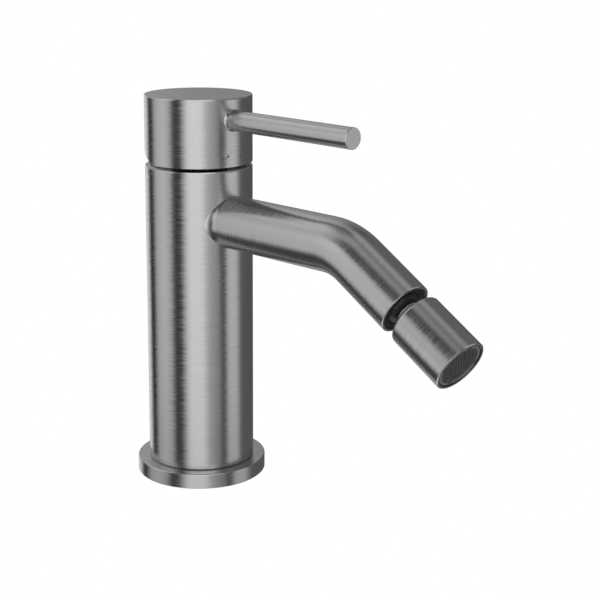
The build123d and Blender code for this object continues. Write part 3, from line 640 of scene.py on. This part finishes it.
@dataclass
class Camera:
    """The photograph's camera, worked out from the mixer's edges.

    Attributes:
        distance: from the column's axis, along the deck.
        height: above the deck.
        bearing: how far the camera stands to the user's left of the spout, in degrees.
        heading: direction that it looks in, from +Y towards +X, in degrees.
        dip: how far it looks down, in degrees.
        roll: turn about its own axis, in degrees.
        focal_pixels: focal length in pixels of the square frame.
        frame_pixels: the frame's side in pixels.
        shift: vertical lens shift as a share of the frame.
        sensor: the sensor's side in millimetres.
        nearest: distance from which the camera sees.
        farthest: distance up to which the camera sees.
    """

    distance: float = 595.44 * MM
    height: float = 233.8 * MM
    bearing: float = CAMERA_BEARING
    heading: float = 44.312
    dip: float = 12.555
    roll: float = 0.316
    focal_pixels: float = 1435.2
    frame_pixels: float = 600.0
    shift: float = -0.1
    sensor: float = 36.0
    nearest: float = 10.0 * MM
    farthest: float = 20000.0 * MM

    def place(self) -> None:
        """Makes the camera and gives it to the scene."""
        data = bpy.data.cameras.new("photo_camera")
        data.sensor_width = self.sensor
        data.lens = self.focal_pixels / self.frame_pixels * self.sensor
        data.shift_y = self.shift
        data.clip_start = self.nearest
        data.clip_end = self.farthest
        bearing, heading, dip, roll = (math.radians(v) for v in (self.bearing, self.heading, self.dip, self.roll))
        ahead = Vector((math.sin(heading) * math.cos(dip), math.cos(heading) * math.cos(dip), -math.sin(dip)))
        level = Vector((math.cos(heading), -math.sin(heading), 0.0))
        upward = level.cross(ahead)
        right = level * math.cos(roll) + upward * math.sin(roll)
        up = right.cross(ahead)
        frame = Matrix((right, up, -ahead)).transposed().to_4x4()
        spot = (-self.distance * math.sin(bearing), -self.distance * math.cos(bearing), self.height)
        camera = bpy.data.objects.new("photo_camera", data)
        camera.matrix_world = Matrix.Translation(spot) @ frame
        bpy.context.collection.objects.link(camera)
        bpy.context.scene.camera = camera
        LOG.info("placed the camera")


@dataclass(frozen=True)
class Band:
    """One belt of the studio's dome, with panels side by side.

    Attributes:
        start: elevation from which the belt begins to show, in degrees.
        full: elevation from which it fully covers the belt below, in degrees.
        panels: bearing from the camera in degrees and brightness of each panel's edge, from the left round to the
            right.
    """

    start: float
    full: float
    panels: tuple[tuple[float, float], ...]


NADIR_BAND = Band(-90.0, -89.0, ((-180.0, 0.90), (180.0, 0.90)))
DEEP_BAND = Band(
    -76.0,
    -62.0,
    (
        (-180.0, 0.45),
        (-150.0, 0.42),
        (-134.0, 0.08),
        (-50.0, 0.06),
        (-28.0, 0.50),
        (8.0, 0.50),
        (30.0, 0.10),
        (90.0, 0.10),
        (150.0, 0.20),
        (180.0, 0.45),
    ),
)
EYE_BAND = Band(
    -31.0,
    -18.0,
    (
        (-180.0, 0.08),
        (-172.0, 0.30),
        (-160.0, 0.90),
        (-149.0, 0.90),
        (-138.0, 0.60),
        (-130.0, 0.02),
        (-118.0, 0.02),
        (-104.0, 0.62),
        (-82.0, 0.78),
        (-66.0, 0.62),
        (-56.0, 0.05),
        (-41.0, 0.05),
        (-29.0, 0.80),
        (-22.0, 1.08),
        (4.0, 1.08),
        (18.0, 0.56),
        (40.0, 0.38),
        (46.0, 0.10),
        (54.0, 0.12),
        (62.0, 0.76),
        (83.0, 0.76),
        (98.0, 0.15),
        (140.0, 0.12),
        (180.0, 0.08),
    ),
)
HIGH_BAND = Band(
    4.0,
    18.0,
    (
        (-180.0, 0.40),
        (-172.0, 0.62),
        (-162.0, 0.58),
        (-156.0, 0.44),
        (-150.0, 0.46),
        (-142.0, 0.62),
        (-120.0, 0.70),
        (-112.0, 0.56),
        (-104.0, 0.56),
        (-97.0, 0.74),
        (-82.0, 0.82),
        (-70.0, 0.84),
        (-59.0, 0.70),
        (-51.0, 0.08),
        (-40.0, 0.06),
        (-24.0, 1.30),
        (24.0, 1.30),
        (40.0, 0.30),
        (120.0, 0.20),
        (150.0, 0.15),
        (165.0, 0.32),
        (180.0, 0.40),
    ),
)
UPPER_BAND = Band(
    34.0,
    43.0,
    (
        (-180.0, 0.50),
        (-164.0, 0.64),
        (-157.0, 0.42),
        (-151.0, 0.42),
        (-146.0, 0.66),
        (-138.0, 0.78),
        (-118.0, 0.80),
        (-105.0, 0.70),
        (-84.0, 0.55),
        (-72.0, 0.16),
        (-60.0, 0.06),
        (40.0, 0.06),
        (100.0, 0.18),
        (136.0, 0.18),
        (146.0, 0.09),
        (156.0, 0.13),
        (170.0, 0.40),
        (180.0, 0.50),
    ),
)
TOP_BAND = Band(
    59.0,
    70.0,
    (
        (-180.0, 0.22),
        (-125.0, 0.20),
        (-95.0, 0.38),
        (-50.0, 0.50),
        (-15.0, 0.38),
        (15.0, 0.26),
        (55.0, 0.26),
        (85.0, 0.44),
        (110.0, 0.52),
        (150.0, 0.48),
        (165.0, 0.32),
        (180.0, 0.22),
    ),
)


@dataclass
class Studio:
    """White floor under a dome of soft panels.

    Attributes:
        bearing: direction of the camera, which the panels' bearings are counted from, in degrees.
        radius: the dome's radius.
        segments: the dome's facets round and from bottom to top.
        bands: the dome's belts, from the lowest up.
        floor_size: half the floor's side.
        floor_grey: the floor's colour as matt surfaces see it.
        world_grey: the world's light on matt surfaces.
    """

    bearing: float = CAMERA_BEARING
    radius: float = 1.6
    segments: tuple[int, int] = (96, 48)
    bands: tuple[Band, ...] = (NADIR_BAND, DEEP_BAND, EYE_BAND, HIGH_BAND, UPPER_BAND, TOP_BAND)
    floor_size: float = 6.0
    floor_grey: float = 0.85
    world_grey: float = 0.6

    def panel_light(self, sheet: NodeSheet, share: Link, band: Band) -> Link:
        """Gives one belt's brightness by bearing.

        Args:
            sheet: the node sheet.
            share: the bearing as a share of the full circle.
            band: the belt.

        Returns:
            The brightness as a colour.
        """
        ramp = sheet.add("ShaderNodeValToRGB")
        stops = ramp.color_ramp.elements
        stops.remove(stops[1])
        for index, (bearing, light) in enumerate(band.panels):
            at = (bearing + HALF_TURN) / FULL_TURN
            stop = stops[0] if index == 0 else stops.new(at)
            stop.position = at
            stop.color = grey(light)
        sheet.feed(ramp.inputs[0], share)
        return ramp.outputs[0]

    def dome_material(self) -> bpy.types.Material:
        """Makes the dome's light, by bearing and elevation.

        Returns:
            The material.
        """
        material = bpy.data.materials.new("studio_dome")
        sheet = cleared_sheet(material)
        place = sheet.add("ShaderNodeTexCoord").outputs["Object"]
        angle = math.radians(self.bearing)
        front = sheet.vector_math("DOT_PRODUCT", place, (-math.sin(angle), -math.cos(angle), 0.0)).outputs["Value"]
        right = sheet.vector_math("DOT_PRODUCT", place, (math.cos(angle), -math.sin(angle), 0.0)).outputs["Value"]
        share = sheet.ramp(sheet.math("ARCTAN2", right, front), -math.pi, math.pi)
        elevation = sheet.math("ARCSINE", sheet.math("DIVIDE", sheet.split(place)[2], self.radius))
        light: object = grey(0.0)
        for band in self.bands:
            shown = sheet.ramp(elevation, math.radians(band.start), math.radians(band.full))
            light = sheet.mix(Blend.COLOUR, shown, light, self.panel_light(sheet, share, band))
        glow = sheet.add("ShaderNodeEmission")
        sheet.feed(glow.inputs["Color"], light)
        sheet.feed(sheet.add("ShaderNodeOutputMaterial").inputs[0], glow.outputs[0])
        return material

    def mesh_object(self, name: str, shape: bmesh.types.BMesh, material: bpy.types.Material) -> bpy.types.Object:
        """Turns a bmesh into a stage object.

        Args:
            name: the object's name.
            shape: its mesh.
            material: its material.

        Returns:
            The object.
        """
        mesh = bpy.data.meshes.new(name)
        shape.to_mesh(mesh)
        shape.free()
        obj = bpy.data.objects.new(name, mesh)
        mesh.materials.append(material)
        bpy.context.collection.objects.link(obj)
        LOG.info("built %s", name)
        return obj

    def white_for_views(self, sheet: NodeSheet, other: Link, white: Link) -> Link:
        """Mixes in white where the camera, metal or glass looks straight at a background.

        Args:
            sheet: the node sheet.
            other: the shader that all else sees.
            white: the white shader.

        Returns:
            The mixed shader.
        """
        rays = sheet.add("ShaderNodeLightPath").outputs
        seen = sheet.math("MAXIMUM", rays["Is Camera Ray"], rays["Is Glossy Ray"])
        mixed = sheet.add("ShaderNodeMixShader")
        sheet.feed(mixed.inputs[0], sheet.math("MAXIMUM", seen, rays["Is Transmission Ray"]))
        sheet.feed(mixed.inputs[1], other)
        sheet.feed(mixed.inputs[2], white)
        return mixed.outputs[0]

    def dome(self) -> None:
        """Makes the dome, which only reflections show."""
        around, upward = self.segments
        shape = bmesh.new()
        bmesh.ops.create_uvsphere(shape, u_segments=around, v_segments=upward, radius=self.radius)
        dome = self.mesh_object("studio_dome", shape, self.dome_material())
        dome.visible_camera = False
        dome.visible_shadow = False
        dome.visible_diffuse = False

    def floor(self) -> None:
        """Makes the plain white floor that the flange stands on."""
        shape = bmesh.new()
        bmesh.ops.create_grid(shape, x_segments=1, y_segments=1, size=self.floor_size)
        material = bpy.data.materials.new("studio_floor")
        sheet = cleared_sheet(material)
        matt = sheet.add("ShaderNodeBsdfDiffuse")
        matt.inputs["Color"].default_value = grey(self.floor_grey)
        white = sheet.add("ShaderNodeEmission")
        out = sheet.add("ShaderNodeOutputMaterial")
        sheet.feed(out.inputs[0], self.white_for_views(sheet, matt.outputs[0], white.outputs[0]))
        floor = self.mesh_object("studio_floor", shape, material)
        floor.visible_glossy = False

    def world(self) -> None:
        """Makes the world white to the eye and a plain grey light to matt surfaces."""
        world = bpy.data.worlds.new("studio_world")
        bpy.context.scene.world = world
        sheet = cleared_sheet(world)
        plain, white = (sheet.add("ShaderNodeBackground") for _ in range(2))
        plain.inputs["Color"].default_value = grey(self.world_grey)
        white.inputs["Color"].default_value = grey(1.0)
        out = sheet.add("ShaderNodeOutputWorld")
        sheet.feed(out.inputs[0], self.white_for_views(sheet, plain.outputs[0], white.outputs[0]))

    def build(self) -> None:
        """Builds the dome, the floor and the world."""
        self.dome()
        self.floor()
        self.world()


def main() -> None:
    """Builds the mixer's looks in order."""
    logging.basicConfig(level=logging.INFO)
    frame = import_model()
    bpy.context.scene.view_settings.view_transform = "Standard"
    Camera().place()
    Studio().build()
    finishes = Finishes()
    for group in (Column, Cartridge, Handle, BallJoint, Outlet):
        group(frame["nodes"], finishes).dress()


if __name__ == "__main__":
    main()
